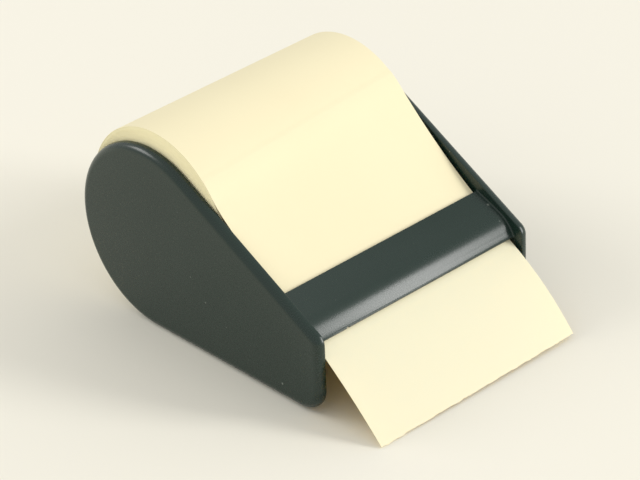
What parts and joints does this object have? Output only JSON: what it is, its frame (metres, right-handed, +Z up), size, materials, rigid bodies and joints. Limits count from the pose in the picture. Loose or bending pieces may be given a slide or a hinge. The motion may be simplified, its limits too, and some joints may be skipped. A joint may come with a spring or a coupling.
{
  "type": "sticky note roll",
  "caption": "Desk dispenser with teardrop cheeks and a front tear bar, holding a wide roll of sticky note paper that turns on hubs; the free end runs under the bar down to the table.",
  "frame": {"origin": "on the table, in the middle of the footprint of the dispenser and its free paper", "axes": "+X across the roll to the right of someone facing the tear bar, +Y from the tear bar to the back of the roll, +Z up"},
  "size_m": [0.0658, 0.0949, 0.05],
  "materials": {
    "dispenser_plastic": "fine satin moulded plastic, dark green-grey",
    "core_board": "plain spiral-wound paperboard",
    "note_paper": "smooth matt pale yellow note paper"
  },
  "bodies": {
    "dispenser": {"dispenser": "dispenser_plastic", "note_strip": "note_paper"},
    "roll": {"roll_core": "core_board", "note_roll": "note_paper"}
  },
  "joints": [
    {"name": "roll_spin", "type": "hinge", "parent": "dispenser", "child": "roll", "pos_m": [0, 0.02325, 0.0277], "axis": [1, 0, 0], "continuous": true}
  ]
}
